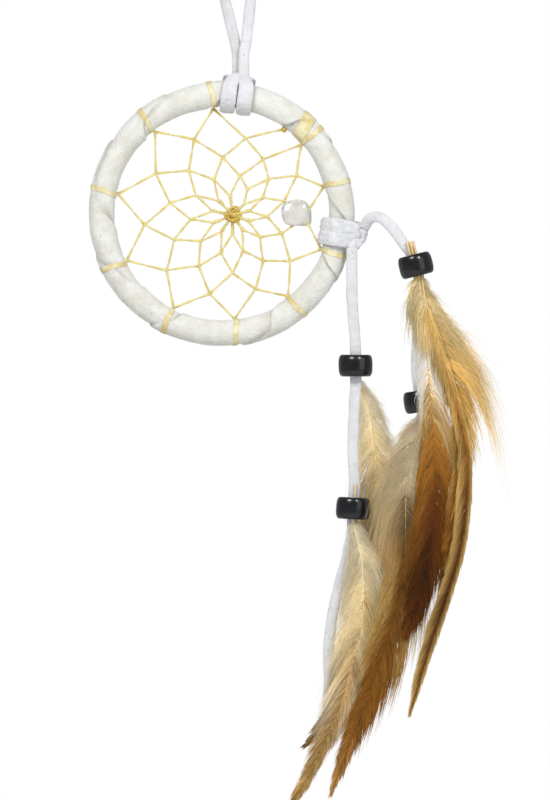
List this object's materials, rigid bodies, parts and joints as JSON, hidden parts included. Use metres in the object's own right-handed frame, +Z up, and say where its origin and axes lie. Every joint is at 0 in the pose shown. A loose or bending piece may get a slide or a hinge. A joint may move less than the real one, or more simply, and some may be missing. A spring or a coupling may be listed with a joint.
{
  "type": "dream catcher",
  "caption": "Small hanging ornament: a suede-wrapped hoop with a knotted web, a lace loop to hang it by, and two lace tails with beads and feathers.",
  "frame": {"origin": "inside the top of the hanging loop, where a hook bears", "axes": "+Z up, along the length; +Y from front to back, front faces -Y"},
  "size_m": [0.104, 0.0223, 0.2348],
  "materials": {
    "suede_lace": "soft white suede nap",
    "suede_wrap": "cream-white suede strip, faintly mottled",
    "ring_wire": "bare ring, hidden by the wrapping",
    "sinew": "waxed yellow thread",
    "quartz": "milky translucent stone",
    "black_bead": "black lacquer, soft gloss",
    "quill_horn": "pale horn",
    "ochre_feather": "silky barbs, cream down at the base",
    "cream_feather": "silky barbs, cream down at the base",
    "golden_feather": "golden fluffy barbs",
    "rust_feather": "rust and gold barbs with a dark shaft",
    "chestnut_feather": "glossy chestnut barbs, darkest in the middle",
    "brown_feather": "grey-beige down, brown and chestnut vane"
  },
  "bodies": {
    "hanger": {"hanger_loop": "suede_lace"},
    "hitch": {"hanger_hitch": "suede_lace"},
    "hoop": {"hoop_ring": "ring_wire", "hoop_wrap": "suede_wrap", "web_thread": "sinew", "web_hitches": "sinew", "web_tie_off": "sinew", "web_centre_knot": "sinew", "stone_chip": "quartz"},
    "side_knot": {"side_hitch": "suede_lace", "right_lace_arch": "suede_lace"},
    "left_tail": {"left_lace": "suede_lace"},
    "right_tail": {"right_lace": "suede_lace"},
    "left_upper": {"left_upper_bead": "black_bead", "left_upper_quill": "quill_horn", "left_upper_vane": "ochre_feather"},
    "left_lower": {"left_lower_bead": "black_bead", "left_lower_quill": "quill_horn", "left_lower_vane": "cream_feather"},
    "right_upper": {"right_upper_bead": "black_bead", "golden_quill": "quill_horn", "golden_vane": "golden_feather", "long_quill": "quill_horn", "long_vane": "rust_feather", "chestnut_quill": "quill_horn", "chestnut_vane": "chestnut_feather"},
    "right_lower": {"right_lower_bead": "black_bead", "right_lower_quill": "quill_horn", "right_lower_vane": "brown_feather"}
  },
  "joints": [
    {"name": "hanger_twist", "type": "hinge", "parent": "hanger", "child": "hitch", "pos_m": [0, 0, -0.0333], "axis": [0, 0, 1], "range_deg": [-60, 60], "stiffness_Nm_per_rad": 0.0001},
    {"name": "hoop_tilt", "type": "hinge", "parent": "hitch", "child": "hoop", "pos_m": [-0.0009, 0, -0.0407], "axis": [0.9914, 0, -0.1305], "range_deg": [-20, 20]},
    {"name": "side_turn", "type": "hinge", "parent": "hoop", "child": "side_knot", "pos_m": [0.02613, 0, -0.07702], "axis": [0.1599, 0, 0.9871], "range_deg": [-12, 12]},
    {"name": "left_sway", "type": "hinge", "parent": "side_knot", "child": "left_tail", "pos_m": [0.02933, -0.0046, -0.08082], "axis": [0, 1, 0], "range_deg": [-8, 12]},
    {"name": "right_sway", "type": "hinge", "parent": "side_knot", "child": "right_tail", "pos_m": [0.04308, -0.0086, -0.08017], "axis": [0, 1, 0], "range_deg": [-12, 6]},
    {"name": "left_upper_slide", "type": "slide", "parent": "left_tail", "child": "left_upper", "axis": [0, 0, 1], "range_m": [-0.002, 0.002]},
    {"name": "left_lower_slide", "type": "slide", "parent": "left_tail", "child": "left_lower", "axis": [0.0523, 0, 0.9986], "range_m": [-0.002, 0.002]},
    {"name": "right_upper_slide", "type": "slide", "parent": "right_tail", "child": "right_upper", "axis": [-0.2419, 0, 0.9703], "range_m": [-0.002, 0]},
    {"name": "right_lower_slide", "type": "slide", "parent": "right_tail", "child": "right_lower", "axis": [-0.1392, 0, 0.9903], "range_m": [-0.0015, 0.0015]}
  ]
}
